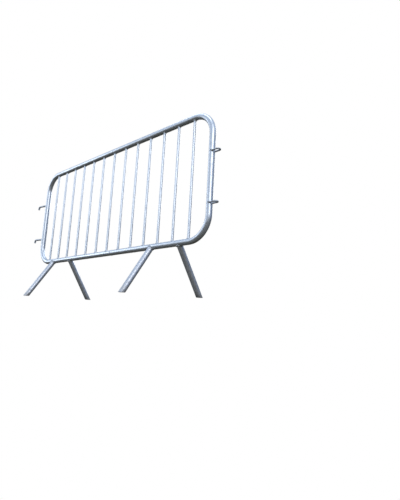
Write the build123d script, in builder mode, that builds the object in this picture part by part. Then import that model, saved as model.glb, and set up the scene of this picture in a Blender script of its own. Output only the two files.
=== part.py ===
from build123d import *
import math
import os

# Crowd control barrier: a bent tube frame filled with upright bars, on four splayed legs, with two
# drop hooks on one end and two receiving eyes on the other, all welded and hot-dip galvanised.
# Millimetres. Z = 0 is the ground, +X runs along the barrier from the hooks to the eyes, +Y is the back.

# Driving dimensions
frame_length = 2000          # over the two end uprights
frame_height = 1100          # ground to the top of the top rail
bottom_rail_height = 305     # ground to the centre line of the bottom rail
tube_diameter = 38
tube_wall = 2.0
corner_radius = 145          # bend radius of the tube's centre line
bar_count = 13
bar_pitch = 138
bar_diameter = 16
bar_wall = 1.2
leg_outer_offset = 750       # from the middle bar to the two legs nearer the ends
leg_inner_offset = 500       # from the middle bar to the two legs nearer the middle
leg_spread = 200             # from the frame's plane to the middle of a leg's end
leg_ear_trim = 6             # how far short of the rail's centre line a leg's saddle ears stop
hook_heights = (517, 827)    # centre line of a hook's arm where it leaves the end upright
hook_bar_diameter = 16
hook_bend_radius = 17
hook_shank_length = 38       # the length that lies along the end upright, below the arm
hook_reach = 165             # end upright's centre line to the hook tip's centre line
hook_rise = 9                # the arm climbs this much towards its tip
hook_drop = 27               # arm's centre line down to the end of the tip
eye_bar_diameter = 10
eye_gap = 18                 # clear width inside an eye
eye_reach = 64               # end upright's centre line to the outside of an eye
eye_below_arm = 4            # an eye's centre line lies this far below its hook's arm
drain_hole_diameter = 10
drain_hole_offset = 800      # from the middle bar
seam_gap = 1.0               # root gap of the frame's closing butt weld
sleeve_length = 80
sleeve_clearance = 0.2       # sleeve to the tube's bore, all round
hook_end_chamfer = 1.5
weld_gap = 0.05              # clearance between a bead and the pieces that it joins

# Worked out from them
tube_radius = tube_diameter / 2
tube_bore_radius = tube_radius - tube_wall
sleeve_radius = tube_bore_radius - sleeve_clearance
bar_radius = bar_diameter / 2
hook_bar_radius = hook_bar_diameter / 2
eye_bar_radius = eye_bar_diameter / 2
upright_offset = frame_length / 2 - tube_radius
top_rail_height = frame_height - tube_radius
hook_overhang = hook_reach + hook_bar_radius - tube_radius
eye_overhang = eye_reach - tube_radius
middle_x = (hook_overhang - eye_overhang) / 2
left_x = middle_x - upright_offset
right_x = middle_x + upright_offset
rail_start_x = left_x + corner_radius
rail_end_x = right_x - corner_radius
upright_start_z = bottom_rail_height + corner_radius
upright_end_z = top_rail_height - corner_radius
bar_positions = [middle_x + (i - (bar_count - 1) / 2) * bar_pitch for i in range(bar_count)]
seam_x = middle_x + bar_pitch / 2
leg_layout = (
    ("leg_front_left", -leg_outer_offset, -1),
    ("leg_front_right", leg_inner_offset, -1),
    ("leg_back_left", -leg_inner_offset, 1),
    ("leg_back_right", leg_outer_offset, 1),
)

os.makedirs("parts", exist_ok=True)


def keep(piece, label):
    """Label a finished piece and write it to its own STEP file."""
    piece.label = label
    export_step(piece, f"parts/{label}.step")


def leg_plane(offset, side, distance=0):
    """Plane across a leg, its origin on the leg's axis this far below the rail's centre line."""
    axis_plane = Plane(
        origin=(middle_x + offset, 0, bottom_rail_height),
        x_dir=(1, 0, 0),
        z_dir=(0, side * leg_spread, -bottom_rail_height),
    )
    return axis_plane.offset(distance)


def eye_height(hook_height):
    return hook_height - eye_below_arm


# Frame tube: two rails, two uprights and four bends, closed by a butt weld in the bottom rail
with BuildPart() as frame_tube:
    for rail_height in (bottom_rail_height, top_rail_height):
        with BuildSketch(Plane.YZ.offset(rail_start_x)):
            with Locations((0, rail_height)):
                Circle(tube_radius)
                Circle(tube_bore_radius, mode=Mode.SUBTRACT)
        extrude(amount=rail_end_x - rail_start_x)
    with BuildSketch(Plane.XY.offset(upright_start_z)):
        with Locations((left_x, 0), (right_x, 0)):
            Circle(tube_radius)
            Circle(tube_bore_radius, mode=Mode.SUBTRACT)
    extrude(amount=upright_end_z - upright_start_z)
    for bend_x, rail_height, bend_height, turn in (
        (rail_start_x, bottom_rail_height, upright_start_z, 1),
        (rail_end_x, bottom_rail_height, upright_start_z, -1),
        (rail_start_x, top_rail_height, upright_end_z, -1),
        (rail_end_x, top_rail_height, upright_end_z, 1),
    ):
        with BuildSketch(Plane.YZ.offset(bend_x)):
            with Locations((0, rail_height)):
                Circle(tube_radius)
                Circle(tube_bore_radius, mode=Mode.SUBTRACT)
        revolve(axis=Axis((bend_x, 0, bend_height), (0, turn, 0)), revolution_arc=90)
    # drain and vent holes in the underside of each rail, near the bends
    for rail_height in (bottom_rail_height, top_rail_height):
        with BuildSketch(Plane.XY.offset(rail_height)):
            with Locations((middle_x - drain_hole_offset, 0), (middle_x + drain_hole_offset, 0)):
                Circle(drain_hole_diameter / 2)
        extrude(amount=-tube_diameter, mode=Mode.SUBTRACT)
    # root gap of the closing weld
    with BuildSketch(Plane.YZ.offset(seam_x - seam_gap / 2)):
        with Locations((0, bottom_rail_height)):
            Circle(tube_diameter)
    extrude(amount=seam_gap, mode=Mode.SUBTRACT)
keep(frame_tube.part, "frame_tube")

# Sleeve inside the frame tube, which lines up its two ends under the closing weld
with BuildPart() as joint_sleeve:
    with BuildSketch(Plane.YZ.offset(seam_x - sleeve_length / 2)):
        with Locations((0, bottom_rail_height)):
            Circle(sleeve_radius)
            Circle(sleeve_radius - tube_wall, mode=Mode.SUBTRACT)
    extrude(amount=sleeve_length)
keep(joint_sleeve.part, "joint_sleeve")

# Closing weld: a low cap round the tube, with its root in the gap
with BuildPart() as seam_weld:
    with BuildSketch(Plane.XZ):
        with BuildLine():
            root_half = seam_gap / 2 - weld_gap
            foot_half = 4.0
            crown = 1.6
            tube_top = bottom_rail_height + tube_radius + weld_gap
            bore_top = bottom_rail_height + tube_bore_radius
            Polyline(
                (seam_x - foot_half, tube_top),
                (seam_x - root_half, tube_top),
                (seam_x - root_half, bore_top),
                (seam_x + root_half, bore_top),
                (seam_x + root_half, tube_top),
                (seam_x + foot_half, tube_top),
            )
            ThreePointArc(
                (seam_x + foot_half, tube_top),
                (seam_x, tube_top + crown),
                (seam_x - foot_half, tube_top),
            )
        make_face()
    revolve(axis=Axis((seam_x, 0, bottom_rail_height), (1, 0, 0)))
keep(seam_weld.part, "seam_weld")

# Upright bars: thin tube, each end cut to a saddle that sits on its rail
for number, bar_x in enumerate(bar_positions, start=1):
    with BuildPart() as bar:
        with BuildSketch(Plane.XY.offset(bottom_rail_height)):
            with Locations((bar_x, 0)):
                Circle(bar_radius)
                Circle(bar_radius - bar_wall, mode=Mode.SUBTRACT)
        extrude(amount=top_rail_height - bottom_rail_height)
        with BuildSketch(Plane.YZ.offset(bar_x - bar_diameter)):
            with Locations((0, bottom_rail_height), (0, top_rail_height)):
                Circle(tube_radius + weld_gap)
        extrude(amount=2 * bar_diameter, mode=Mode.SUBTRACT)
    keep(bar.part, f"bar_{number:02d}")

# Welds round the bars: a tapered collar on each saddle joint
collar_reach = 4.0           # how far a collar runs up its bar and down the side of the rail
collar_small = bar_radius + 0.6
collar_large = bar_radius + 5.0
for label, rail_height, up in (
    ("bar_welds_bottom", bottom_rail_height, 1),
    ("bar_welds_top", top_rail_height, -1),
):
    saddle_z = rail_height + up * tube_radius
    with BuildPart() as bar_welds:
        with BuildSketch(Plane.XY.offset(saddle_z - up * collar_reach)):
            with Locations([(bar_x, 0) for bar_x in bar_positions]):
                Circle(collar_large)
        taper = math.degrees(math.atan((collar_large - collar_small) / (2 * collar_reach)))
        extrude(amount=2 * collar_reach * up, taper=taper)
        with BuildSketch(Plane.XY.offset(rail_height)):
            with Locations([(bar_x, 0) for bar_x in bar_positions]):
                Circle(bar_radius + weld_gap)
        extrude(amount=2 * tube_diameter * up, mode=Mode.SUBTRACT)
        with BuildSketch(Plane.YZ.offset(left_x)):
            with Locations((0, rail_height)):
                Circle(tube_radius + 2 * weld_gap)
        extrude(amount=right_x - left_x, mode=Mode.SUBTRACT)
    keep(bar_welds.part, label)

# Legs: straight tube, saddle cut to the bottom rail and cut level at the ground
leg_run = math.hypot(leg_spread, bottom_rail_height)
for label, offset, side in leg_layout:
    with BuildPart() as leg:
        with BuildSketch(leg_plane(offset, side, leg_ear_trim)):
            Circle(tube_radius)
            Circle(tube_bore_radius, mode=Mode.SUBTRACT)
        extrude(amount=leg_run + tube_radius)
        with BuildSketch(Plane.YZ.offset(middle_x + offset - tube_diameter)):
            with Locations((0, bottom_rail_height)):
                Circle(tube_radius + weld_gap)
        extrude(amount=2 * tube_diameter, mode=Mode.SUBTRACT)
        split(bisect_by=Plane.XY, keep=Keep.TOP)
    keep(leg.part, label)

# Welds round the legs' saddles
leg_bead = 3.5
bead_inset = 2.0             # a bead stops this far short of the end of the joint that it fills
with BuildPart() as leg_welds:
    for label, offset, side in leg_layout:
        with BuildSketch(leg_plane(offset, side, leg_ear_trim + bead_inset)):
            Circle(tube_radius + leg_bead)
        extrude(amount=tube_diameter)
    with BuildSketch(Plane.YZ.offset(left_x)):
        with Locations((0, bottom_rail_height)):
            Circle(tube_radius + leg_bead)
    extrude(amount=right_x - left_x, mode=Mode.INTERSECT)
    with BuildSketch(Plane.YZ.offset(left_x)):
        with Locations((0, bottom_rail_height)):
            Circle(tube_radius + 2 * weld_gap)
    extrude(amount=right_x - left_x, mode=Mode.SUBTRACT)
    for label, offset, side in leg_layout:
        with BuildSketch(leg_plane(offset, side)):
            Circle(tube_radius + weld_gap)
        extrude(amount=2 * tube_diameter, mode=Mode.SUBTRACT)
keep(leg_welds.part, "leg_welds")

# Hooks: round bar with its shank along the left upright, an arm that reaches out and a short drop tip
shank_x = left_x - tube_radius - hook_bar_radius - 2 * weld_gap
tip_x = left_x - hook_reach
for label, arm_height in (("hook_lower", hook_heights[0]), ("hook_upper", hook_heights[1])):
    with BuildPart() as hook:
        with BuildLine(Plane.XZ) as hook_line:
            FilletPolyline(
                (shank_x, arm_height - hook_shank_length),
                (shank_x, arm_height),
                (tip_x, arm_height + hook_rise),
                (tip_x, arm_height + hook_rise - hook_drop),
                radius=hook_bend_radius,
            )
        with BuildSketch(Plane.XY.offset(arm_height - hook_shank_length)):
            with Locations((shank_x, 0)):
                Circle(hook_bar_radius)
        sweep(path=hook_line.line)
        chamfer(hook.faces().filter_by(Axis.Z).edges(), length=hook_end_chamfer)
    keep(hook.part, label)

# Hook welds: one bead down each side of a shank, in the groove between it and the upright
with BuildPart() as hook_welds:
    groove_x = left_x - tube_radius - weld_gap
    bead_length = hook_shank_length - hook_bend_radius + bead_inset
    for arm_height in hook_heights:
        with BuildSketch(Plane.XY.offset(arm_height - hook_shank_length + bead_inset)):
            with Locations((groove_x, 0)):
                Circle(hook_bar_radius)
            with Locations((left_x, 0)):
                Circle(tube_radius + weld_gap, mode=Mode.SUBTRACT)
            with Locations((shank_x, 0)):
                Circle(hook_bar_radius + weld_gap, mode=Mode.SUBTRACT)
            with Locations((groove_x, 0)):
                Rectangle(2, 2, mode=Mode.SUBTRACT)
        extrude(amount=bead_length)
keep(hook_welds.part, "hook_welds")

# Eyes: round bar bent to a level U, its ends cut to sit on the right upright
eye_bend_radius = (eye_gap + eye_bar_diameter) / 2
eye_bend_x = right_x + eye_reach - eye_bar_radius - eye_bend_radius
for label, hook_height in (("eye_lower", hook_heights[0]), ("eye_upper", hook_heights[1])):
    with BuildPart() as eye:
        with BuildLine(Plane.XY.offset(eye_height(hook_height))) as eye_line:
            Line((right_x, eye_bend_radius), (eye_bend_x, eye_bend_radius))
            CenterArc((eye_bend_x, 0), eye_bend_radius, 90, -180)
            Line((eye_bend_x, -eye_bend_radius), (right_x, -eye_bend_radius))
        with BuildSketch(Plane.YZ.offset(right_x)):
            with Locations((eye_bend_radius, eye_height(hook_height))):
                Circle(eye_bar_radius)
        sweep(path=eye_line.line)
        with BuildSketch(Plane.XY.offset(eye_height(hook_height) - tube_radius)):
            with Locations((right_x, 0)):
                Circle(tube_radius + weld_gap)
        extrude(amount=tube_diameter, mode=Mode.SUBTRACT)
    keep(eye.part, label)

# Eye welds: a collar round each end of an eye
eye_bead = 2.5
with BuildPart() as eye_welds:
    for hook_height in hook_heights:
        with BuildSketch(Plane.YZ.offset(right_x)):
            with Locations(
                (-eye_bend_radius, eye_height(hook_height)),
                (eye_bend_radius, eye_height(hook_height)),
            ):
                Circle(eye_bar_radius + eye_bead)
                Circle(eye_bar_radius + weld_gap, mode=Mode.SUBTRACT)
        extrude(amount=tube_diameter)
    with BuildSketch(Plane.XY.offset(hook_heights[0] - tube_diameter)):
        with Locations((right_x, 0)):
            Circle(tube_radius + eye_bead)
    extrude(amount=top_rail_height - bottom_rail_height, mode=Mode.INTERSECT)
    with BuildSketch(Plane.XY.offset(hook_heights[0] - tube_diameter)):
        with Locations((right_x, 0)):
            Circle(tube_radius + 2 * weld_gap)
    extrude(amount=top_rail_height - bottom_rail_height, mode=Mode.SUBTRACT)
keep(eye_welds.part, "eye_welds")
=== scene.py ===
"""Crowd control barrier in galvanised steel: bent tube frame, upright bars, splayed legs, hooks and eyes.

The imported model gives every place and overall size. Each class below builds one sub-assembly as clean meshes
in that same frame, in metres, dresses them in a zinc finish and puts them in place of the plain CAD nodes.
"""

import logging
import math
from collections.abc import Callable, Iterable
from dataclasses import dataclass, field
from enum import Enum

import bmesh
import bpy
from bmesh.types import BMesh, BMVert
from mathutils import Matrix, Vector, noise


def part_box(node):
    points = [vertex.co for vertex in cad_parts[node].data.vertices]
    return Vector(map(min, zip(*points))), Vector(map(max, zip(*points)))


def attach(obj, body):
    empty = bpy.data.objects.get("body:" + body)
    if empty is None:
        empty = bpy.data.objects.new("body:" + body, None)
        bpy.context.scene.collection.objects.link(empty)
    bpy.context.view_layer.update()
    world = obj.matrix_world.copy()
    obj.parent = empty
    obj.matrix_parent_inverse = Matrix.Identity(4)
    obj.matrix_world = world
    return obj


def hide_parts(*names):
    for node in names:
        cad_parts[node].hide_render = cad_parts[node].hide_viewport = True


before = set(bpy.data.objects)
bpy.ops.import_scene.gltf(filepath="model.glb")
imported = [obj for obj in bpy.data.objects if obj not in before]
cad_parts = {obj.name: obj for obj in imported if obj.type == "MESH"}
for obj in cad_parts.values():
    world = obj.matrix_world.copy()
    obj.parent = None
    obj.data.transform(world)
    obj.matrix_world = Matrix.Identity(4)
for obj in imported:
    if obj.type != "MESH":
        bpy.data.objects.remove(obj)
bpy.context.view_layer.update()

BODY = "root"
TUBE_PLACE = "tube_place"
UP = Vector((0.0, 0.0, 1.0))
ALONG = Vector((1.0, 0.0, 0.0))
ACROSS = Vector((0.0, 1.0, 0.0))
MILLIMETRE = 0.001
BEAD_RIPPLE = 0.10
BEAD_UNEVENNESS = 0.22
BEAD_GRAIN = 160.0

log = logging.getLogger("barrier")

Colour = tuple[float, float, float]
Socket = bpy.types.NodeSocket


# ---------------------------------------------------------------------------------------------------------
# Shader node groups
# ---------------------------------------------------------------------------------------------------------


class Pattern(Enum):
    """Which coordinates a zinc pattern is laid on."""

    TUBE = "tube"
    SOLID = "solid"


class NodeSheet:
    """Adds and joins nodes in one node tree."""

    def __init__(self, tree: bpy.types.NodeTree) -> None:
        """Starts with an empty tree.

        Args:
            tree: The node tree to fill.
        """
        self.tree = tree
        self.tree.nodes.clear()

    def add(self, kind: str, settings: dict | None = None, **values: object) -> bpy.types.Node:
        """Adds a node, sets its options and fills its inputs.

        Args:
            kind: The node's type name.
            settings: Properties of the node itself, by name.
            **values: Inputs by name, with "_" for a space: a socket to join, or a plain value.

        Returns:
            The new node.
        """
        node = self.tree.nodes.new(kind)
        for name, setting in (settings or {}).items():
            setattr(node, name, setting)
        for name, value in values.items():
            self.feed(node.inputs[name.replace("_", " ")], value)
        return node

    def feed(self, socket: Socket, value: object) -> None:
        """Joins a socket to an output, or sets its plain value.

        Args:
            socket: The input to fill.
            value: An output socket, a number, or a colour or vector.
        """
        if isinstance(value, Socket):
            self.tree.links.new(value, socket)
        elif isinstance(value, tuple) and len(value) == 3 and socket.type == "RGBA":
            socket.default_value = (*value, 1.0)
        else:
            socket.default_value = value

    def math(self, operation: str, first: object, second: object = 0.0, clamp: bool = False) -> Socket:
        """Adds one arithmetic step.

        Args:
            operation: The operation's name, such as "MULTIPLY".
            first: The first number or output.
            second: The second number or output.
            clamp: True to keep the result from 0 to 1.

        Returns:
            The result's socket.
        """
        node = self.add("ShaderNodeMath", {"operation": operation, "use_clamp": clamp})
        self.feed(node.inputs[0], first)
        self.feed(node.inputs[1], second)
        return node.outputs["Value"]

    def blend(self, share: object, first: object, second: object) -> Socket:
        """Mixes two colours.

        Args:
            share: How much of the second colour, from 0 to 1.
            first: The colour at 0.
            second: The colour at 1.

        Returns:
            The mixed colour's socket.
        """
        node = self.add("ShaderNodeMix", {"data_type": "RGBA"})
        self.feed(node.inputs[0], share)
        self.feed(node.inputs[6], first)
        self.feed(node.inputs[7], second)
        return node.outputs[2]

    def ramp(self, value: object, low: float, high: float, start: float = 0.0, end: float = 1.0) -> Socket:
        """Turns a range of a value smoothly into a mask.

        Args:
            value: The number to read.
            low: Where the mask starts.
            high: Where the mask ends.
            start: The mask's value at low.
            end: The mask's value at high.

        Returns:
            The mask's socket.
        """
        node = self.add("ShaderNodeMapRange", {"interpolation_type": "SMOOTHSTEP"})
        names = ("Value", "From Min", "From Max", "To Min", "To Max")
        for name, number in zip(names, (value, low, high, start, end), strict=True):
            self.feed(node.inputs[name], number)
        return node.outputs["Result"]

    def stretched(self, vector: object, scale: tuple[float, float, float], turn: float = 0.0) -> Socket:
        """Stretches and turns a pattern's coordinates.

        Args:
            vector: The coordinates.
            scale: The scale along each axis.
            turn: A turn about Y, in degrees.

        Returns:
            The new coordinates' socket.
        """
        rotation = (0.0, math.radians(turn), 0.0)
        node = self.add("ShaderNodeMapping", Vector=vector, Scale=scale, Rotation=rotation)
        return node.outputs["Vector"]

    def clouds(self, vector: object, scale: float, detail: float = 3.0, rough: float = 0.55) -> Socket:
        """Adds a noise texture.

        Args:
            vector: The coordinates.
            scale: The noise's scale, per metre.
            detail: How many finer layers it has.
            rough: How strong the finer layers are.

        Returns:
            The noise value's socket.
        """
        node = self.add("ShaderNodeTexNoise", Vector=vector, Scale=scale, Detail=detail, Roughness=rough)
        return node.outputs["Fac"]


class ZincEffects:
    """The node groups that every zinc finish shares, each built once."""

    def __init__(self) -> None:
        """Builds the groups."""
        self.spangle = self._spangle()
        self.runs = self._runs()
        self.shade_and_dust = self._shade_and_dust()
        self.scuffs = self._scuffs()

    @staticmethod
    def _group(
        name: str, inputs: dict[str, str], outputs: Iterable[str]
    ) -> tuple[bpy.types.NodeTree, NodeSheet]:
        """Starts a node group.

        Args:
            name: The group's name.
            inputs: Socket types by input name.
            outputs: Names of the number outputs.

        Returns:
            The group and a sheet that fills it.
        """
        group = bpy.data.node_groups.new(name, "ShaderNodeTree")
        sheet = NodeSheet(group)
        for socket_name, socket_type in inputs.items():
            group.interface.new_socket(socket_name, in_out="INPUT", socket_type=socket_type)
        for socket_name in outputs:
            group.interface.new_socket(socket_name, in_out="OUTPUT", socket_type="NodeSocketFloat")
        return group, sheet

    def _spangle(self) -> bpy.types.NodeTree:
        """Makes the crystal pattern of cooled zinc.

        Returns:
            A group from place and crystal size to tone, gloss and height.
        """
        inputs = {"Place": "NodeSocketVector", "Size": "NodeSocketFloat"}
        group, sheet = self._group("zinc_spangle", inputs, ("Tone", "Gloss", "Height"))
        given = sheet.add("NodeGroupInput").outputs
        frequency = sheet.math("DIVIDE", 1.0, given["Size"])
        scale = {"operation": "SCALE"}
        scaled = sheet.add("ShaderNodeVectorMath", scale, Vector=given["Place"], Scale=frequency)
        warp = sheet.add("ShaderNodeTexNoise", Vector=scaled.outputs[0], Scale=1.3, Detail=2.0)
        bent = sheet.add("ShaderNodeVectorMath", {"operation": "MULTIPLY_ADD"})
        sheet.feed(bent.inputs[0], warp.outputs["Color"])
        sheet.feed(bent.inputs[1], (0.9, 0.9, 0.9))
        sheet.feed(bent.inputs[2], scaled.outputs[0])
        coarse = sheet.add("ShaderNodeTexVoronoi", Vector=bent.outputs[0], Scale=1.0)
        fine = sheet.add("ShaderNodeTexVoronoi", Vector=bent.outputs[0], Scale=2.6)
        coarse_tone = sheet.add("ShaderNodeSeparateColor", Color=coarse.outputs["Color"])
        fine_tone = sheet.add("ShaderNodeSeparateColor", Color=fine.outputs["Color"])
        feather = sheet.clouds(scaled.outputs[0], 7.0, 4.0, 0.7)
        tone = sheet.math("MULTIPLY_ADD", coarse_tone.outputs[0], 0.5)
        sheet.feed(tone.node.inputs[2], sheet.math("MULTIPLY", fine_tone.outputs[1], 0.28))
        tone = sheet.math("ADD", tone, sheet.math("MULTIPLY", feather, 0.22), clamp=True)
        height = sheet.math("ADD", sheet.math("MULTIPLY", tone, 0.5), sheet.math("MULTIPLY", feather, 0.5))
        sheet.add("NodeGroupOutput", Tone=tone, Gloss=coarse_tone.outputs[2], Height=height)
        return group

    def _runs(self) -> bpy.types.NodeTree:
        """Makes the streaks and pale bloom where zinc and rain have run down.

        Returns:
            A group from place to streak and bloom masks and a height.
        """
        group, sheet = self._group("zinc_runs", {"Place": "NodeSocketVector"}, ("Streak", "Bloom", "Height"))
        place = sheet.add("NodeGroupInput").outputs["Place"]
        drawn = sheet.clouds(sheet.stretched(place, (90.0, 90.0, 5.0)), 1.0, 4.0, 0.6)
        patches = sheet.clouds(place, 3.1, 2.0, 0.5)
        streak = sheet.math("MULTIPLY", sheet.ramp(drawn, 0.50, 0.68), sheet.ramp(patches, 0.42, 0.62))
        bloom = sheet.math("MULTIPLY", sheet.ramp(sheet.clouds(place, 22.0, 5.0, 0.62), 0.52, 0.70), 0.8)
        lumps = sheet.clouds(sheet.stretched(place, (60.0, 60.0, 14.0)), 1.0, 2.0, 0.5)
        sheet.add("NodeGroupOutput", Streak=streak, Bloom=bloom, Height=lumps)
        return group

    def _shade_and_dust(self) -> bpy.types.NodeTree:
        """Makes the painted shade on the downward faces of the tubes, and the dust and splash near the ground.

        Returns:
            A group from place to a painted-shade mask for the undersides and a dust mask.
        """
        inputs = {"Place": "NodeSocketVector", "Dust Height": "NodeSocketFloat"}
        group, sheet = self._group("shade_and_dust", inputs, ("Under", "Dust"))
        given = sheet.add("NodeGroupInput").outputs
        normal = sheet.add("ShaderNodeNewGeometry").outputs["Normal"]
        facing = sheet.add("ShaderNodeSeparateXYZ", Vector=normal)
        patches = sheet.clouds(given["Place"], 14.0, 5.0, 0.65)
        # Painted shade: faces that point down are masked, broken up by patches, and the finish turns them dark
        # brown.
        under = sheet.ramp(facing.outputs["Z"], -0.05, -0.85)
        under = sheet.math("MULTIPLY", under, sheet.ramp(patches, 0.25, 0.65, 0.35, 1.0))
        height = sheet.add("ShaderNodeSeparateXYZ", Vector=given["Place"]).outputs["Z"]
        depth = sheet.math("DIVIDE", height, given["Dust Height"])
        spatter = sheet.clouds(given["Place"], 45.0, 4.0, 0.7)
        splash = sheet.math("ADD", depth, sheet.ramp(spatter, 0.3, 0.7, -0.5, 0.5))
        dust = sheet.ramp(splash, 1.0, 0.1)
        sheet.add("NodeGroupOutput", Under=under, Dust=dust)
        return group

    def _scuffs(self) -> bpy.types.NodeTree:
        """Makes the rub marks and scratches of handling and stacking.

        Returns:
            A group from place to a scratch mask and a rubbed mask.
        """
        group, sheet = self._group("scuffs", {"Place": "NodeSocketVector"}, ("Scratch", "Rubbed"))
        place = sheet.add("NodeGroupInput").outputs["Place"]
        marks = []
        strokes = (
            (8.0, (420.0, 90.0, 24.0)),
            (-52.0, (380.0, 110.0, 30.0)),
            (84.0, (460.0, 90.0, 20.0)),
        )
        for turn, scale in strokes:
            fibre = sheet.clouds(sheet.stretched(place, scale, turn), 1.0, 1.0, 0.4)
            marks.append(sheet.ramp(fibre, 0.70, 0.76))
        scratch = sheet.math("MAXIMUM", sheet.math("MAXIMUM", marks[0], marks[1]), marks[2])
        where = sheet.ramp(sheet.clouds(place, 6.0, 3.0, 0.6), 0.46, 0.60)
        rubbed = sheet.math("MULTIPLY", where, sheet.ramp(sheet.clouds(place, 85.0, 4.0, 0.7), 0.42, 0.62))
        sheet.add("NodeGroupOutput", Scratch=sheet.math("MULTIPLY", scratch, where), Rubbed=rubbed)
        return group


# ---------------------------------------------------------------------------------------------------------
# Finishes
# ---------------------------------------------------------------------------------------------------------


@dataclass(frozen=True)
class ZincFinish:
    """One galvanised finish, as a procedural material."""

    slot: str
    light: Colour
    dark: Colour
    roughness: float
    spangle_size: float
    pattern: Pattern = Pattern.TUBE
    metal: float = 0.85
    spangle_gloss: float = 0.10
    streaks: float = 0.5
    bloom: float = 0.35
    # How strong the painted shade is: downward faces turn dark brown, standing in for shade and the reflected
    # ground below.
    painted_shade: float = 0.6
    dust: float = 0.0
    dust_height: float = 0.10
    scuffs: float = 0.6
    relief: float = 0.12 * MILLIMETRE
    bloom_colour: Colour = (0.80, 0.82, 0.84)
    # The dark brown of the painted shade on downward faces.
    painted_shade_colour: Colour = (0.17, 0.155, 0.115)
    dust_colour: Colour = (0.36, 0.32, 0.26)
    bare_colour: Colour = (0.86, 0.88, 0.90)

    def material(self, effects: ZincEffects) -> bpy.types.Material:
        """Builds the finish's material.

        Args:
            effects: The shared node groups.

        Returns:
            The material, named after its slot.
        """
        made = bpy.data.materials.new(self.slot)
        made.use_nodes = True
        sheet = NodeSheet(made.node_tree)
        solid = sheet.add("ShaderNodeTexCoord").outputs["Object"]
        place = solid
        if self.pattern is Pattern.TUBE:
            place = sheet.add("ShaderNodeAttribute", {"attribute_name": TUBE_PLACE}).outputs["Vector"]
        spangle = self._group(sheet, effects.spangle, Place=place, Size=self.spangle_size)
        runs = self._group(sheet, effects.runs, Place=solid)
        shade_and_dust = self._group(sheet, effects.shade_and_dust, Place=solid, Dust_Height=self.dust_height)
        scuffs = self._group(sheet, effects.scuffs, Place=solid)
        streak = sheet.math("MULTIPLY", runs["Streak"], self.streaks)
        bloom = sheet.math("MULTIPLY", runs["Bloom"], self.bloom)
        # Painted shade: downward faces are darkened towards brown, and are also made less metallic and
        # rougher.
        painted_shade = sheet.math("MULTIPLY", shade_and_dust["Under"], self.painted_shade)
        dust = sheet.math("MULTIPLY", shade_and_dust["Dust"], self.dust)
        scratch = sheet.math("MULTIPLY", scuffs["Scratch"], self.scuffs)
        rubbed = sheet.math("MULTIPLY", scuffs["Rubbed"], 0.5 * self.scuffs)
        colour = sheet.blend(spangle["Tone"], self.dark, self.light)
        colour = sheet.blend(streak, colour, self.dark)
        colour = sheet.blend(bloom, colour, self.bloom_colour)
        colour = sheet.blend(rubbed, colour, self.bare_colour)
        # Painted shade on the undersides.
        colour = sheet.blend(painted_shade, colour, self.painted_shade_colour)
        colour = sheet.blend(dust, colour, self.dust_colour)
        colour = sheet.blend(scratch, colour, self.bare_colour)
        dull = sheet.math("MAXIMUM", sheet.math("MAXIMUM", painted_shade, dust), sheet.math("MULTIPLY", bloom, 0.5))
        metallic = sheet.math("MULTIPLY", sheet.math("SUBTRACT", 1.0, dull, clamp=True), self.metal)
        rough = sheet.math("MULTIPLY_ADD", spangle["Gloss"], self.spangle_gloss)
        sheet.feed(rough.node.inputs[2], self.roughness - self.spangle_gloss / 2)
        rough = sheet.math("ADD", rough, sheet.math("MULTIPLY", dull, 0.35))
        rough = sheet.math("SUBTRACT", rough, sheet.math("MULTIPLY", rubbed, 0.15), clamp=True)
        height = sheet.math("ADD", sheet.math("MULTIPLY", spangle["Height"], 0.45), runs["Height"])
        height = sheet.math("SUBTRACT", height, sheet.math("MULTIPLY", scratch, 0.5))
        bump = sheet.add("ShaderNodeBump", Height=height, Distance=self.relief, Strength=1.0)
        surface = sheet.add(
            "ShaderNodeBsdfPrincipled",
            Base_Color=colour,
            Metallic=metallic,
            Roughness=rough,
            Normal=bump.outputs["Normal"],
        )
        sheet.add("ShaderNodeOutputMaterial", Surface=surface.outputs["BSDF"])
        return made

    @staticmethod
    def _group(sheet: NodeSheet, group: bpy.types.NodeTree, **values: object) -> bpy.types.NodeOutputs:
        """Places a shared group in a material.

        Args:
            sheet: The material's sheet.
            group: The group to place.
            **values: The group's inputs, with "_" for a space.

        Returns:
            The group's outputs.
        """
        node = sheet.tree.nodes.new("ShaderNodeGroup")
        node.node_tree = group
        for name, value in values.items():
            sheet.feed(node.inputs[name.replace("_", " ")], value)
        return node.outputs


TUBE_FINISH = ZincFinish("galvanised_tube", (0.80, 0.85, 0.91), (0.58, 0.63, 0.70), 0.30, 0.011)
# The bars get a weaker painted shade on their downward faces.
BAR_FINISH = ZincFinish("galvanised_bar", (0.82, 0.87, 0.93), (0.60, 0.66, 0.74), 0.30, 0.009, painted_shade=0.4)
LEG_FINISH = ZincFinish(
    "galvanised_leg",
    (0.78, 0.81, 0.86),
    (0.52, 0.55, 0.61),
    0.42,
    0.011,
    dust=0.3,
    dust_height=0.07,
    scuffs=0.9,
    streaks=0.6,
)
FITTING_FINISH = ZincFinish(
    "galvanised_fitting",
    (0.60, 0.64, 0.70),
    (0.42, 0.45, 0.50),
    0.50,
    0.007,
    metal=0.75,
    scuffs=1.0,
    relief=0.3 * MILLIMETRE,
)
WELD_FINISH = ZincFinish(
    "galvanised_weld",
    (0.70, 0.72, 0.75),
    (0.44, 0.46, 0.50),
    0.50,
    0.005,
    Pattern.SOLID,
    scuffs=0.3,
    bloom=0.5,
)
SLEEVE_FINISH = ZincFinish(
    "galvanised_tube_inner", (0.60, 0.63, 0.68), (0.44, 0.47, 0.52), 0.50, 0.011, Pattern.SOLID
)


# ---------------------------------------------------------------------------------------------------------
# Drawing tools
# ---------------------------------------------------------------------------------------------------------


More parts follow.
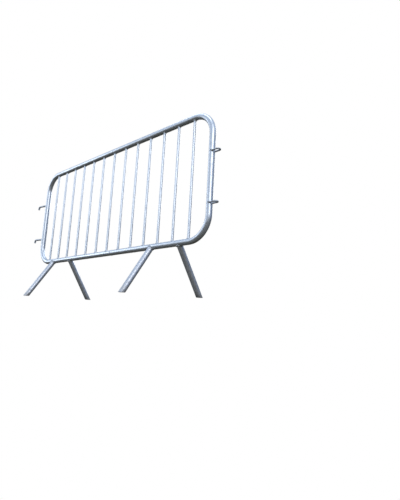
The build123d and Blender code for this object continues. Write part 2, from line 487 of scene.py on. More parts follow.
@dataclass
class TubeMaker:
    """Draws a round tube ring by ring along a path that lies in one plane.

    Each point also gets its place on the tube as if the tube were straight, so that a pattern runs on
    through the bends.
    """

    radius: float
    plane_normal: Vector
    mesh: BMesh = field(default_factory=bmesh.new)
    segments: int = 40
    distance: float = 0.0

    def __post_init__(self) -> None:
        """Readies the pattern layer."""
        layers = self.mesh.verts.layers.float_vector
        self.place = layers.get(TUBE_PLACE) or layers.new(TUBE_PLACE)
        self.ring: list[BMVert] = []

    def start(self, centre: Vector, heading: Vector) -> list[BMVert]:
        """Draws the first ring.

        Args:
            centre: The ring's middle.
            heading: The way that the tube sets off.

        Returns:
            The ring's points.
        """
        self.centre = centre.copy()
        self.heading = heading.normalized()
        axes = Matrix((self.plane_normal, self.heading.cross(self.plane_normal), self.heading)).transposed()
        stand = Matrix.Translation(centre) @ axes.to_4x4()
        made = bmesh.ops.create_circle(self.mesh, segments=self.segments, radius=self.radius, matrix=stand)
        self.ring = made["verts"]
        self._note_place()
        return self.ring

    def straight(self, length: float, steps: int = 1) -> list[BMVert]:
        """Draws a straight stretch.

        Args:
            length: How long it is.
            steps: How many rings it takes.

        Returns:
            The last ring's points.
        """
        for _ in range(steps):
            self._new_ring()
            step = self.heading * (length / steps)
            bmesh.ops.translate(self.mesh, verts=self.ring, vec=step)
            self.centre += step
            self.distance += length / steps
            self._note_place()
        return self.ring

    def bend(self, radius: float, angle: float, inward: Vector, steps: int = 16) -> list[BMVert]:
        """Draws a bend.

        Args:
            radius: The bend's radius at the tube's centre line.
            angle: How far it turns, in radians.
            inward: Which way the bend's own centre lies.
            steps: How many rings it takes.

        Returns:
            The last ring's points.
        """
        pivot = self.centre + inward.normalized() * radius
        turn = Matrix.Rotation(angle / steps, 3, self.heading.cross(inward).normalized())
        for _ in range(steps):
            self._new_ring()
            bmesh.ops.rotate(self.mesh, verts=self.ring, cent=pivot, matrix=turn)
            self.centre = pivot + turn @ (self.centre - pivot)
            self.heading = turn @ self.heading
            self.distance += radius * angle / steps
            self._note_place()
        return self.ring

    def round_off(self, ring: list[BMVert], chamfer: float) -> None:
        """Closes an end with a flat face and eases its edge.

        Args:
            ring: The end's points.
            chamfer: The eased edge's width.
        """
        edges = ring_edges(ring)
        bmesh.ops.holes_fill(self.mesh, edges=edges, sides=0)
        bevel(self.mesh, edges, chamfer, 3)

    def _new_ring(self) -> None:
        """Extrudes the last ring in place."""
        made = bmesh.ops.extrude_edge_only(self.mesh, edges=ring_edges(self.ring))
        self.ring = [item for item in made["geom"] if isinstance(item, BMVert)]

    def _note_place(self) -> None:
        """Stores where the ring's points lie on the straightened tube."""
        rise = self.heading.cross(self.plane_normal)
        for point in self.ring:
            offset = point.co - self.centre
            point[self.place] = (offset.dot(self.plane_normal), offset.dot(rise), self.distance)


def ring_edges(ring: Iterable[BMVert]) -> list[bmesh.types.BMEdge]:
    """Finds the edges that join a ring's points.

    Args:
        ring: The points.

    Returns:
        The edges with both ends in the ring, in the order of the points.
    """
    points = dict.fromkeys(ring)
    edges = (edge for point in points for edge in point.link_edges if edge.other_vert(point) in points)
    return list(dict.fromkeys(edges))


def bevel(mesh: BMesh, edges: Iterable[bmesh.types.BMEdge], width: float, segments: int = 2) -> None:
    """Rounds edges.

    Args:
        mesh: The mesh that holds them.
        edges: The edges to round.
        width: How wide the rounding is.
        segments: How many faces it takes.
    """
    bmesh.ops.bevel(
        mesh,
        geom=list(edges),
        offset=width,
        offset_type="OFFSET",
        affect="EDGES",
        segments=segments,
        profile=0.5,
        material=-1,
        clamp_overlap=True,
    )


def thicken(mesh: BMesh, wall: float) -> None:
    """Gives an open tube its wall, which grows inwards, and closes it at both ends.

    Args:
        mesh: The outer wall.
        wall: The wall's thickness.
    """
    bmesh.ops.recalc_face_normals(mesh, faces=mesh.faces[:])
    bmesh.ops.solidify(mesh, geom=mesh.faces[:], thickness=wall)


def weld_ring(
    mesh: BMesh,
    centre: Vector,
    axis: Vector,
    side: Vector,
    radius: float,
    lift: Callable[[float], float],
    bead: Vector,
    steps: int,
    ripples: int,
) -> None:
    """Adds a rippled bead that goes once round a tube and follows the surface that the tube stands on.

    Args:
        mesh: The mesh to add to.
        centre: A point on the tube's axis, from which the lift is measured.
        axis: The tube's direction, away from the other surface.
        side: The direction at which the bead's angle is 0.
        radius: From the axis to the middle of the bead.
        lift: How far along the axis the bead lies, for an angle round it.
        bead: Half the bead's thickness away from the tube, and half its height along it, in x and y.
        steps: How many sections the bead has.
        ripples: How many ripples it has.
    """
    before = set(mesh.verts)
    upward = axis.cross(side)
    section = Matrix((side, axis, side.cross(axis))).transposed().to_4x4()
    section.translation = centre + side * radius
    oval = section @ Matrix.Diagonal((bead.x, bead.y, 1, 1))
    made = bmesh.ops.create_circle(mesh, segments=10, radius=1.0, matrix=oval)
    bmesh.ops.spin(
        mesh,
        geom=ring_edges(made["verts"]),
        cent=centre,
        axis=axis,
        angle=math.tau,
        steps=steps,
        use_merge=True,
        use_duplicate=False,
    )
    for point in [vert for vert in mesh.verts if vert not in before]:
        offset = point.co - centre
        angle = math.atan2(offset.dot(upward), offset.dot(side))
        middle = centre + (side * math.cos(angle) + upward * math.sin(angle)) * radius
        out = point.co - middle
        phase = ripples * angle + 1.6 * out.dot(axis) / bead.y
        unevenness = noise.noise(point.co * BEAD_GRAIN)
        swell = 1.0 + BEAD_RIPPLE * math.sin(phase) + BEAD_UNEVENNESS * unevenness
        point.co = middle + out * swell + axis * lift(angle)


def weld_run(mesh: BMesh, start: Vector, end: Vector, thickness: float, steps: int = 28) -> None:
    """Adds a short straight rippled bead with rounded ends.

    Args:
        mesh: The mesh to add to.
        start: The middle of one end.
        end: The middle of the other end.
        thickness: The bead's radius.
        steps: How many sections it has.
    """
    run = end - start
    direction = run.normalized()
    normal = direction.orthogonal().normalized()
    maker = TubeMaker(thickness, normal, mesh, segments=12)
    first = maker.start(start, direction)
    rings = [first]
    for _ in range(steps):
        rings.append(maker.straight(run.length / steps))
    bmesh.ops.holes_fill(mesh, edges=ring_edges(rings[0]), sides=0)
    bmesh.ops.holes_fill(mesh, edges=ring_edges(rings[-1]), sides=0)
    for number, ring in enumerate(rings):
        share = number / steps
        middle = start + run * share
        from_end = min(share, 1.0 - share) * run.length / thickness
        taper = math.sqrt(max(1.0 - (1.0 - min(from_end, 1.0)) ** 2, 0.04))
        for point in ring:
            out = point.co - middle
            ripple = 1.0 + 0.12 * math.sin(number * math.tau / 4.0) + 0.2 * noise.noise(point.co * 190.0)
            point.co = middle + out * taper * ripple


def place_piece(
    mesh: BMesh, name: str, material: bpy.types.Material, nodes: Iterable[str], sharp: float = 35.0
) -> bpy.types.Object:
    """Turns a finished mesh into a dressed piece that stands for CAD nodes.

    Args:
        mesh: The mesh, which is freed.
        name: The piece's name.
        material: Its material.
        nodes: The CAD nodes that it stands for.
        sharp: Edges that turn more than this many degrees stay crisp.

    Returns:
        The new object.
    """
    bmesh.ops.recalc_face_normals(mesh, faces=mesh.faces[:])
    data = bpy.data.meshes.new(name)
    mesh.to_mesh(data)
    mesh.free()
    data.shade_smooth()
    data.set_sharp_from_angle(angle=math.radians(sharp))
    data.materials.append(material)
    piece = bpy.data.objects.new(name, data)
    bpy.context.scene.collection.objects.link(piece)
    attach(piece, BODY)
    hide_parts(*nodes)
    log.info("%s: %d faces", name, len(data.polygons))
    return piece


# ---------------------------------------------------------------------------------------------------------
# The barrier
# ---------------------------------------------------------------------------------------------------------


class Side(Enum):
    """Which side of the frame a leg stands on."""

    FRONT = -1
    BACK = 1


@dataclass(frozen=True)
class Plan:
    """Centre lines of the barrier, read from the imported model."""

    tube_radius: float
    bar_radius: float
    left_x: float
    right_x: float
    bottom_z: float
    top_z: float
    bar_positions: tuple[float, ...]

    @classmethod
    def read(cls) -> "Plan":
        """Reads the centre lines.

        Returns:
            The plan.
        """
        low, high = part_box("frame_tube")
        radius = (high[1] - low[1]) / 2
        bars = sorted(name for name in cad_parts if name.startswith("bar_") and name[4:].isdigit())
        boxes = [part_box(name) for name in bars]
        return cls(
            tube_radius=radius,
            bar_radius=(boxes[0][1][0] - boxes[0][0][0]) / 2,
            left_x=low[0] + radius,
            right_x=high[0] - radius,
            bottom_z=low[2] + radius,
            top_z=high[2] - radius,
            bar_positions=tuple((lowest[0] + highest[0]) / 2 for lowest, highest in boxes),
        )

    @property
    def middle_x(self) -> float:
        """The middle of the frame."""
        return (self.left_x + self.right_x) / 2

    @property
    def seam_x(self) -> float:
        """Where the bottom rail's closing weld is."""
        low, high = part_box("seam_weld")
        return (low[0] + high[0]) / 2


@dataclass
class FrameTube:
    """The closed tube of two rails, two uprights and four bends, with drain holes and a closing weld."""

    plan: Plan
    bend_radius: float = 0.145
    wall: float = 0.002
    drain_radius: float = 0.005
    drain_offset: float = 0.8
    seam_gap: float = 0.001

    def build(self, tube: bpy.types.Material, weld: bpy.types.Material, sleeve: bpy.types.Material) -> None:
        """Builds and dresses the tube, its weld and the sleeve inside it.

        Args:
            tube: The tube's material.
            weld: The weld's material.
            sleeve: The material of the sleeve behind the weld.
        """
        mesh = self._trace()
        thicken(mesh, self.wall)
        piece = place_piece(mesh, "frame_tube_drawn", tube, ("frame_tube",))
        self._drill(piece)
        self._seam(weld)
        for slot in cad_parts["joint_sleeve"].material_slots:
            slot.material = sleeve

    def _trace(self) -> BMesh:
        """Draws the tube's outer wall from one side of the seam round to the other.

        Returns:
            The wall, open at both ends.
        """
        plan = self.plan
        bend = self.bend_radius
        quarter = math.pi / 2
        maker = TubeMaker(plan.tube_radius, ACROSS)
        seam = plan.seam_x
        rail_left, rail_right = plan.left_x + bend, plan.right_x - bend
        upright = plan.top_z - plan.bottom_z - 2 * bend
        maker.start(Vector((seam + self.seam_gap / 2, 0.0, plan.bottom_z)), ALONG)
        maker.straight(rail_right - seam - self.seam_gap / 2, 12)
        maker.bend(bend, quarter, UP)
        maker.straight(upright, 8)
        maker.bend(bend, quarter, -ALONG)
        maker.straight(rail_right - rail_left, 24)
        maker.bend(bend, quarter, -UP)
        maker.straight(upright, 8)
        maker.bend(bend, quarter, ALONG)
        maker.straight(seam - self.seam_gap / 2 - rail_left, 12)
        return maker.mesh

    def _drill(self, piece: bpy.types.Object) -> None:
        """Drills the drain holes through the underside of each rail.

        Args:
            piece: The frame tube.
        """
        plan = self.plan
        mesh = bmesh.new()
        for height in (plan.bottom_z, plan.top_z):
            for offset in (-self.drain_offset, self.drain_offset):
                stand = Matrix.Translation((plan.middle_x + offset, 0.0, height - plan.tube_radius))
                bmesh.ops.create_cone(
                    mesh,
                    cap_ends=True,
                    segments=24,
                    radius1=self.drain_radius,
                    radius2=self.drain_radius,
                    depth=plan.tube_radius,
                    matrix=stand,
                )
        data = bpy.data.meshes.new("drill")
        mesh.to_mesh(data)
        mesh.free()
        drill = bpy.data.objects.new("drill", data)
        bpy.context.scene.collection.objects.link(drill)
        cut = piece.modifiers.new("drain_holes", "BOOLEAN")
        cut.operation = "DIFFERENCE"
        cut.solver = "MANIFOLD"
        cut.object = drill
        evaluated = piece.evaluated_get(bpy.context.evaluated_depsgraph_get())
        drilled = bpy.data.meshes.new_from_object(evaluated)
        drilled.name = piece.data.name
        piece.modifiers.remove(cut)
        piece.data = drilled
        bpy.data.objects.remove(drill)
        log.info("drain holes drilled: %d faces", len(drilled.polygons))

    def _seam(self, weld: bpy.types.Material) -> None:
        """Builds the low cap of the closing weld.

        Args:
            weld: The weld's material.
        """
        mesh = bmesh.new()
        weld_ring(
            mesh,
            centre=Vector((self.plan.seam_x, 0.0, self.plan.bottom_z)),
            axis=ALONG,
            side=UP,
            radius=self.plan.tube_radius,
            lift=lambda angle: 0.4 * MILLIMETRE * math.sin(5 * angle),
            bead=Vector((1.5, 3.8)) * MILLIMETRE,
            steps=144,
            ripples=46,
        )
        place_piece(mesh, "seam_weld_bead", weld, ("seam_weld",), sharp=80.0)


@dataclass
class InfillBars:
    """The upright bars and the welds round their ends."""

    plan: Plan
    wall: float = 1.2 * MILLIMETRE
    weld_gap: float = 0.05 * MILLIMETRE
    bead: float = 2.9 * MILLIMETRE

    def build(self, bar: bpy.types.Material, weld: bpy.types.Material) -> None:
        """Builds and dresses every bar, then the welds.

        Args:
            bar: The bars' material.
            weld: The welds' material.
        """
        for number, bar_x in enumerate(self.plan.bar_positions, start=1):
            self._bar(number, bar_x, bar)
        for label, rail_z, up in (("bottom", self.plan.bottom_z, 1.0), ("top", self.plan.top_z, -1.0)):
            mesh = bmesh.new()
            for bar_x in self.plan.bar_positions:
                weld_ring(
                    mesh,
                    centre=Vector((bar_x, 0.0, rail_z)),
                    axis=UP * up,
                    side=ALONG,
                    radius=self.plan.bar_radius + 0.25 * self.bead,
                    lift=self._saddle,
                    bead=Vector((self.bead, self.bead)),
                    steps=56,
                    ripples=15,
                )
            name = f"bar_welds_{label}"
            place_piece(mesh, f"{name}_beads", weld, (name,), sharp=80.0)

    def _saddle(self, angle: float) -> float:
        """Height of the rail's surface under a bar's wall, above the rail's centre line."""
        return math.sqrt(self.plan.tube_radius**2 - (self.plan.bar_radius * math.sin(angle)) ** 2)

    def _bar(self, number: int, bar_x: float, material: bpy.types.Material) -> None:
        """Builds one bar, its ends cut to sit on the rails.

        Args:
            number: The bar's number, from 1.
            bar_x: Where it stands.
            material: Its material.
        """
        plan = self.plan
        cut = plan.tube_radius + self.weld_gap
        maker = TubeMaker(plan.bar_radius, ACROSS, segments=28, distance=3.7 * number)
        end = 0.5 * plan.tube_radius
        low, high = plan.bottom_z + plan.tube_radius, plan.top_z - plan.tube_radius
        maker.start(Vector((bar_x, 0.0, low)), UP)
        maker.straight(end)
        maker.straight(high - low - 2 * end, 10)
        maker.straight(end)
        thicken(maker.mesh, self.wall)
        for point in maker.mesh.verts:
            drop = math.sqrt(cut**2 - point.co.y**2)
            if point.co.z < low + end / 2:
                point.co.z = plan.bottom_z + drop
            elif point.co.z > high - end / 2:
                point.co.z = plan.top_z - drop
        name = f"bar_{number:02d}"
        place_piece(maker.mesh, f"{name}_drawn", material, (name,))


@dataclass
class Legs:
    """Four straight legs, saddle cut to the bottom rail and level at the ground, and their welds."""

    plan: Plan
    spread: float = 0.2
    wall: float = 0.002
    ear_trim: float = 0.006
    bead: float = 3.2 * MILLIMETRE
    edge: float = 0.4 * MILLIMETRE
    sides: tuple[tuple[str, Side], ...] = (
        ("leg_front_left", Side.FRONT),
        ("leg_front_right", Side.FRONT),
        ("leg_back_left", Side.BACK),
        ("leg_back_right", Side.BACK),
    )

    def build(self, leg: bpy.types.Material, weld: bpy.types.Material) -> None:
        """Builds and dresses the legs, then their welds.

        Args:
            leg: The legs' material.
            weld: The welds' material.
        """
        beads = bmesh.new()
        for number, (name, side) in enumerate(self.sides):
            low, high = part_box(name)
            leg_x = (low[0] + high[0]) / 2
            self._leg(name, leg_x, side, 2.9 * (number + 1), leg)
            self._weld(beads, leg_x, side)
        place_piece(beads, "leg_welds_beads", weld, ("leg_welds",), sharp=80.0)

    def _direction(self, side: Side) -> Vector:
        """The way down a leg on one side."""
        return Vector((0.0, side.value * self.spread, -self.plan.bottom_z)).normalized()

    def _saddle(self, radius: float, angle: float) -> float:
        """How far down a leg its wall starts, from the rail's centre line, at an angle from the X axis.

        Args:
            radius: The wall's radius.
            angle: The angle round the leg.

        Returns:
            The distance, eased where the trimmed ears begin.
        """
        rail = self.plan.tube_radius
        on_rail = math.sqrt(max(rail**2 - (radius * math.sin(angle)) ** 2, 0.0))
        return max(on_rail, self.ear_trim)

    def _leg(self, name: str, leg_x: float, side: Side, offset: float, material: bpy.types.Material) -> None:
        """Builds one leg.

        Args:
            name: The CAD node's name.
            leg_x: Where it stands along the rail.
            side: Which side it is on.
            offset: Shifts the leg's pattern, so that no two are alike.
            material: Its material.
        """
        plan = self.plan
        direction = self._direction(side)
        rise = direction.cross(ALONG)
        origin = Vector((leg_x, 0.0, plan.bottom_z))
        run = math.hypot(self.spread, plan.bottom_z)
        first, last = plan.tube_radius, run - plan.tube_radius
        maker = TubeMaker(plan.tube_radius, ALONG, segments=44, distance=offset)
        mesh = maker.mesh
        maker.start(origin + direction * first, direction)
        maker.straight(first)
        maker.straight(last - 3 * first, 8)
        maker.straight(first)
        thicken(mesh, self.wall)
        foot = []
        for point in mesh.verts:
            along = (point.co - origin).dot(direction)
            out = point.co - origin - direction * along
            if along < first + self.edge:
                angle = math.atan2(out.dot(rise), out.dot(ALONG))
                point.co += direction * (self._saddle(out.length, angle) - along)
            elif along > last - self.edge:
                point.co -= direction * (point.co.z / direction.z)
                foot.append(point)
        on_foot = set(foot)
        rims = [
            edge
            for edge in ring_edges(foot)
            if any(not on_foot.issuperset(face.verts) for face in edge.link_faces)
        ]
        bevel(mesh, rims, self.edge)
        for point in mesh.verts:
            point.co.z = max(point.co.z, 0.0)
        place_piece(mesh, f"{name}_drawn", material, (name,))

    def _weld(self, mesh: BMesh, leg_x: float, side: Side) -> None:
        """Adds the bead round one leg's saddle.

        Args:
            mesh: The mesh of all four beads.
            leg_x: Where the leg stands along the rail.
            side: Which side it is on.
        """
        radius = self.plan.tube_radius
        weld_ring(
            mesh,
            centre=Vector((leg_x, 0.0, self.plan.bottom_z)),
            axis=self._direction(side),
            side=ALONG,
            radius=radius + 0.15 * self.bead,
            lift=lambda angle: self._saddle(radius, angle) + 0.3 * self.bead,
            bead=Vector((self.bead, self.bead)),
            steps=132,
            ripples=34,
        )


@dataclass
class Hooks:
    """The two drop hooks on the left upright, bent from round bar, and their groove welds."""

    plan: Plan
    bar_radius: float = 0.008
    bend_radius: float = 0.017
    shank_length: float = 0.038
    rise: float = 0.009
    drop: float = 0.027
    chamfer: float = 1.5 * MILLIMETRE
    bead: float = 2.6 * MILLIMETRE
    names: tuple[str, ...] = ("hook_lower", "hook_upper")

    def build(self, fitting: bpy.types.Material, weld: bpy.types.Material) -> None:
        """Builds and dresses the hooks, then their welds.

        Args:
            fitting: The hooks' material.
            weld: The welds' material.
        """
        beads = bmesh.new()
        for number, name in enumerate(self.names):
            low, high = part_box(name)
            shank_x = high[0] - self.bar_radius
            self._hook(name, low[0] + self.bar_radius, shank_x, low[2], 1.7 * (number + 1), fitting)
            groove_x = self.plan.left_x - self.plan.tube_radius - 0.5 * self.bead
            for across in (-1.0, 1.0):
                foot = Vector((groove_x, across * 0.52 * self.bar_radius, low[2] + 2 * MILLIMETRE))
                head = foot + UP * (self.shank_length - self.bend_radius)
                weld_run(beads, foot, head, self.bead)
        place_piece(beads, "hook_welds_beads", weld, ("hook_welds",), sharp=80.0)

    def _hook(
        self,
        name: str,
        tip_x: float,
        shank_x: float,
        foot_z: float,
        offset: float,
        material: bpy.types.Material,
    ) -> None:
        """Builds one hook.

        Args:
            name: The CAD node's name.
            tip_x: Centre line of the drop tip.
            shank_x: Centre line of the shank.
            foot_z: The shank's lower end.
            offset: Shifts the hook's pattern.
            material: Its material.
        """
        climb = math.atan2(self.rise, shank_x - tip_x)
        first_turn = math.pi / 2 - climb
        last_turn = math.pi / 2 + climb
        first_tangent = self.bend_radius * math.tan(first_turn / 2)
        last_tangent = self.bend_radius * math.tan(last_turn / 2)
        arm = math.hypot(self.rise, shank_x - tip_x)
        maker = TubeMaker(self.bar_radius, ACROSS, segments=28, distance=offset)
        foot = list(maker.start(Vector((shank_x, 0.0, foot_z)), UP))
        maker.straight(self.shank_length - first_tangent, 2)
        maker.bend(self.bend_radius, first_turn, -ALONG, 12)
        maker.straight(arm - first_tangent - last_tangent, 6)
        maker.bend(self.bend_radius, last_turn, maker.heading.cross(ACROSS), 12)
        tip = list(maker.straight(self.drop - last_tangent, 2))
        maker.round_off(foot, self.chamfer)
        maker.round_off(tip, self.chamfer)
        place_piece(maker.mesh, f"{name}_drawn", material, (name,))


@dataclass
class Eyes:
    """The two receiving eyes on the right upright, bent from round bar, and the welds round their ends."""

    plan: Plan
    bar_radius: float = 0.005
    gap: float = 0.018
    weld_gap: float = 0.05 * MILLIMETRE
    bead: float = 1.9 * MILLIMETRE
    names: tuple[str, ...] = ("eye_lower", "eye_upper")

    def build(self, fitting: bpy.types.Material, weld: bpy.types.Material) -> None:
        """Builds and dresses the eyes, then their welds.

        Args:
            fitting: The eyes' material.
            weld: The welds' material.
        """
        beads = bmesh.new()
        spacing = self.gap / 2 + self.bar_radius
        for number, name in enumerate(self.names):
            low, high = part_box(name)
            eye_z = (low[2] + high[2]) / 2
            self._eye(name, high[0], spacing, eye_z, 1.3 * (number + 1), fitting)
            for across in (-spacing, spacing):
                weld_ring(
                    beads,
                    centre=Vector((self.plan.right_x, across, eye_z)),
                    axis=ALONG,
                    side=UP,
                    radius=self.bar_radius + 0.2 * self.bead,
                    lift=lambda angle, middle=across: self._saddle(middle, angle),
                    bead=Vector((self.bead, self.bead)),
                    steps=44,
                    ripples=13,
                )
        place_piece(beads, "eye_welds_beads", weld, ("eye_welds",), sharp=80.0)

    def _saddle(self, across: float, angle: float) -> float:
        """How far the upright's surface lies from its centre line at a point of an eye's end.

        Args:
            across: The end's place along Y.
            angle: The angle round the end, from Z.

        Returns:
            The distance along X.
        """
        reach = across - self.bar_radius * math.sin(angle)
        return math.sqrt(max(self.plan.tube_radius**2 - reach**2, 0.0))

    def _eye(
        self,
        name: str,
        outer_x: float,
        spacing: float,
        eye_z: float,
        offset: float,
        material: bpy.types.Material,
    ) -> None:
        """Builds one eye.

        Args:
            name: The CAD node's name.
            outer_x: The eye's outermost point.
            spacing: The bar's centre line from the eye's middle.
            eye_z: The eye's height.
            offset: Shifts the eye's pattern.
            material: Its material.
        """
        plan = self.plan
        bend_x = outer_x - self.bar_radius - spacing
        start_x = plan.right_x + plan.tube_radius
        maker = TubeMaker(self.bar_radius, UP, segments=20, distance=offset)
        first = list(maker.start(Vector((start_x, spacing, eye_z)), ALONG))
        maker.straight(bend_x - start_x, 3)
        maker.bend(spacing, math.pi, -ACROSS, 20)
        last = list(maker.straight(bend_x - start_x, 3))
        for ring in (first, last):
            for point in ring:
                reach = (plan.tube_radius + self.weld_gap) ** 2 - point.co.y**2
                point.co.x = plan.right_x + math.sqrt(max(reach, 0.0))
            bmesh.ops.holes_fill(maker.mesh, edges=ring_edges(ring), sides=0)
        place_piece(maker.mesh, f"{name}_drawn", material, (name,))


@dataclass
class ZincDrips:
    """Small drips of zinc that set on the undersides of the rails as the barrier drained after its dip."""

    plan: Plan
    size: float = 1.5 * MILLIMETRE
    length: float = 3.4 * MILLIMETRE
    variety: float = 0.35
    root_width: float = 1.9
    narrowing: float = 1.05
    sunk: float = 0.28
    top_rail: tuple[float, ...] = (-0.612, -0.371, 0.118, 0.402, 0.667)
    bottom_rail: tuple[float, ...] = (-0.655, -0.236, -0.187, 0.334, 0.415, 0.688)

    def build(self, tube: bpy.types.Material) -> None:
        """Builds and dresses the drips as one piece.

        Args:
            tube: The tube's material.
        """
        mesh = bmesh.new()
        place = mesh.verts.layers.float_vector.new(TUBE_PLACE)
        for offsets, rail_z in ((self.top_rail, self.plan.top_z), (self.bottom_rail, self.plan.bottom_z)):
            for offset in offsets:
                self._drip(mesh, Vector((self.plan.middle_x + offset, 0.0, rail_z - self.plan.tube_radius)))
        for point in mesh.verts:
            point[place] = point.co
        place_piece(mesh, "zinc_drips", tube, (), sharp=80.0)

    def _drip(self, mesh: BMesh, root: Vector) -> None:
        """Adds one drip: a bead that is widest where it meets the metal, and narrows as it hangs.

        Args:
            mesh: The mesh to add to.
            root: Where it hangs, on the underside of a rail.
        """
        swell = 1.0 + self.variety * noise.noise(root * 90.0)
        made = bmesh.ops.create_uvsphere(mesh, u_segments=14, v_segments=10, radius=1.0)
        for point in made["verts"]:
            hang = (1.0 - point.co.z) / 2
            neck = self.root_width - self.narrowing * math.sin(math.pi * min(hang * 1.15, 1.0) / 2)
            across = Vector((point.co.x, point.co.y, 0.0)) * self.size * swell * neck
            point.co = root + across + UP * self.length * swell * (self.sunk - hang)


# ---------------------------------------------------------------------------------------------------------
# The studio
# ---------------------------------------------------------------------------------------------------------


@dataclass(frozen=True)
class Lamp:
    """One soft rectangular light that shines at the middle of the barrier."""

    name: str
    place: tuple[float, float, float]
    size: tuple[float, float]
    power: float
    colour: Colour

    def hang(self, target: Vector) -> None:
        """Hangs the light.

        Args:
            target: What it points at.
        """
        data = bpy.data.lights.new(self.name, "AREA")
        data.shape = "RECTANGLE"
        data.size, data.size_y = self.size
        data.energy = self.power
        data.color = self.colour
        lamp = bpy.data.objects.new(self.name, data)
        lamp.location = self.place
        lamp.rotation_euler = (target - Vector(self.place)).to_track_quat("-Z", "Y").to_euler()
        lamp.visible_camera = False
        bpy.context.scene.collection.objects.link(lamp)


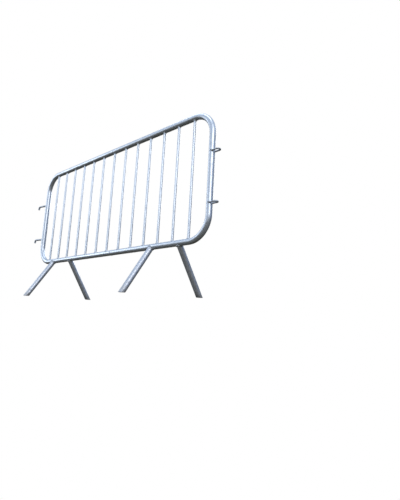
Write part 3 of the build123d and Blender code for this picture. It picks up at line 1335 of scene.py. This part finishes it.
@dataclass
class Studio:
    """A pale floor, soft light and the camera."""

    plan: Plan
    floor_size: float = 40.0
    floor_drop: float = 0.5 * MILLIMETRE
    floor_colour: Colour = (0.95, 0.91, 0.85)
    floor_bounce: Colour = (0.070, 0.060, 0.036)
    camera_stand: tuple[float, float, float] = (2.5477, -1.6885, -0.1900)
    camera_heading: float = -43.837
    camera_tilt: float = 10.575
    camera_roll: float = 2.973
    lens: float = 30.533
    sensor: float = 36.0
    lamps: tuple[Lamp, ...] = (
        Lamp("key", (4.6, -2.4, 3.0), (4.0, 3.4), 72.0, (1.0, 0.985, 0.96)),
        Lamp("side", (-4.2, -2.4, 1.8), (1.6, 3.0), 26.0, (0.86, 0.92, 1.0)),
        Lamp("overhead", (0.0, -0.4, 4.4), (4.5, 1.6), 42.0, (0.93, 0.96, 1.0)),
        Lamp("back", (-2.2, 4.4, 3.0), (3.2, 2.4), 80.0, (0.93, 0.96, 1.0)),
    )

    def build(self) -> None:
        """Lays the floor, lights it and sets up the camera."""
        bpy.context.scene.view_settings.view_transform = "Standard"
        self._floor()
        self._sky()
        target = Vector((self.plan.middle_x, 0.0, 0.55))
        for lamp in self.lamps:
            lamp.hang(target)
        self._camera()

    def _floor(self) -> None:
        """Lays a floor that is only seen from above."""
        mesh = bmesh.new()
        bmesh.ops.create_grid(mesh, x_segments=1, y_segments=1, size=self.floor_size / 2)
        bmesh.ops.translate(mesh, verts=mesh.verts[:], vec=-UP * self.floor_drop)
        data = bpy.data.meshes.new("floor")
        mesh.to_mesh(data)
        mesh.free()
        floor = bpy.data.objects.new("floor", data)
        bpy.context.scene.collection.objects.link(floor)
        made = bpy.data.materials.new("floor_paper")
        made.use_nodes = True
        sheet = NodeSheet(made.node_tree)
        path = sheet.add("ShaderNodeLightPath")
        colour = sheet.blend(path.outputs["Is Camera Ray"], self.floor_bounce, self.floor_colour)
        paper = sheet.add("ShaderNodeBsdfPrincipled", Base_Color=colour, Roughness=0.9)
        clear = sheet.add("ShaderNodeBsdfTransparent")
        place = sheet.add("ShaderNodeTexCoord").outputs["Object"]
        reach = sheet.add("ShaderNodeVectorMath", {"operation": "LENGTH"}, Vector=place).outputs["Value"]
        fade = sheet.math("MULTIPLY", sheet.ramp(reach, 2.0, 6.0), path.outputs["Is Camera Ray"])
        hidden = sheet.math("MAXIMUM", fade, sheet.add("ShaderNodeNewGeometry").outputs["Backfacing"])
        mix = sheet.add("ShaderNodeMixShader", Fac=hidden)
        sheet.feed(mix.inputs[1], paper.outputs["BSDF"])
        sheet.feed(mix.inputs[2], clear.outputs["BSDF"])
        sheet.add("ShaderNodeOutputMaterial", Surface=mix.outputs[0])
        data.materials.append(made)

    @staticmethod
    def _sky() -> None:
        """Surrounds the barrier with soft light, bright in front and above and dim behind and below."""
        world = bpy.data.worlds.new("studio")
        bpy.context.scene.world = world
        world.use_nodes = True
        sheet = NodeSheet(world.node_tree)
        direction = sheet.add("ShaderNodeTexCoord").outputs["Generated"]
        parts = sheet.add("ShaderNodeSeparateXYZ", Vector=direction)
        front = sheet.ramp(parts.outputs["Y"], 0.45, -0.30)
        right = sheet.ramp(parts.outputs["X"], 0.20, 0.85)
        low = sheet.blend(right, (0.07, 0.085, 0.095), (0.17, 0.22, 0.36))
        low = sheet.blend(front, low, (0.66, 0.73, 0.84))
        high = sheet.blend(sheet.ramp(parts.outputs["Z"], 0.10, 0.80), low, (0.52, 0.62, 0.78))
        light = sheet.blend(sheet.ramp(parts.outputs["Z"], 0.02, -0.06), high, (0.042, 0.036, 0.022))
        path = sheet.add("ShaderNodeLightPath").outputs["Is Camera Ray"]
        seen = sheet.blend(path, light, (1.0, 1.0, 1.0))
        paper = sheet.add("ShaderNodeBackground", Color=seen, Strength=1.0)
        sheet.add("ShaderNodeOutputWorld", Surface=paper.outputs["Background"])

    def _camera(self) -> None:
        """Stands the camera low, off the right-hand end, looking up along the front."""
        angles = (self.camera_heading, self.camera_tilt, self.camera_roll)
        heading, tilt, roll = (math.radians(angle) for angle in angles)
        ahead = Vector((math.sin(heading), math.cos(heading), 0.0))
        forward = math.cos(tilt) * ahead + math.sin(tilt) * UP
        level = Vector((math.cos(heading), -math.sin(heading), 0.0))
        upright = level.cross(forward)
        right = math.cos(roll) * level + math.sin(roll) * upright
        top = math.cos(roll) * upright - math.sin(roll) * level
        stand = Matrix((right, top, -forward)).transposed().to_4x4()
        stand.translation = Vector(self.camera_stand) + ALONG * self.plan.middle_x
        data = bpy.data.cameras.new("camera")
        data.sensor_fit = "VERTICAL"
        data.sensor_height = self.sensor
        data.lens = self.lens
        camera = bpy.data.objects.new("camera", data)
        camera.matrix_world = stand
        bpy.context.scene.collection.objects.link(camera)
        bpy.context.scene.camera = camera


def main() -> None:
    """Builds every sub-assembly in order, then the studio."""
    logging.basicConfig(level=logging.INFO, format="%(name)s: %(message)s")
    plan = Plan.read()
    effects = ZincEffects()
    finishes = (TUBE_FINISH, BAR_FINISH, LEG_FINISH, FITTING_FINISH, WELD_FINISH, SLEEVE_FINISH)
    tube, bar, leg, fitting, weld, sleeve = (finish.material(effects) for finish in finishes)
    FrameTube(plan).build(tube, weld, sleeve)
    InfillBars(plan).build(bar, weld)
    Legs(plan).build(leg, weld)
    Hooks(plan).build(fitting, weld)
    Eyes(plan).build(fitting, weld)
    ZincDrips(plan).build(tube)
    Studio(plan).build()


if __name__ == "__main__":
    main()
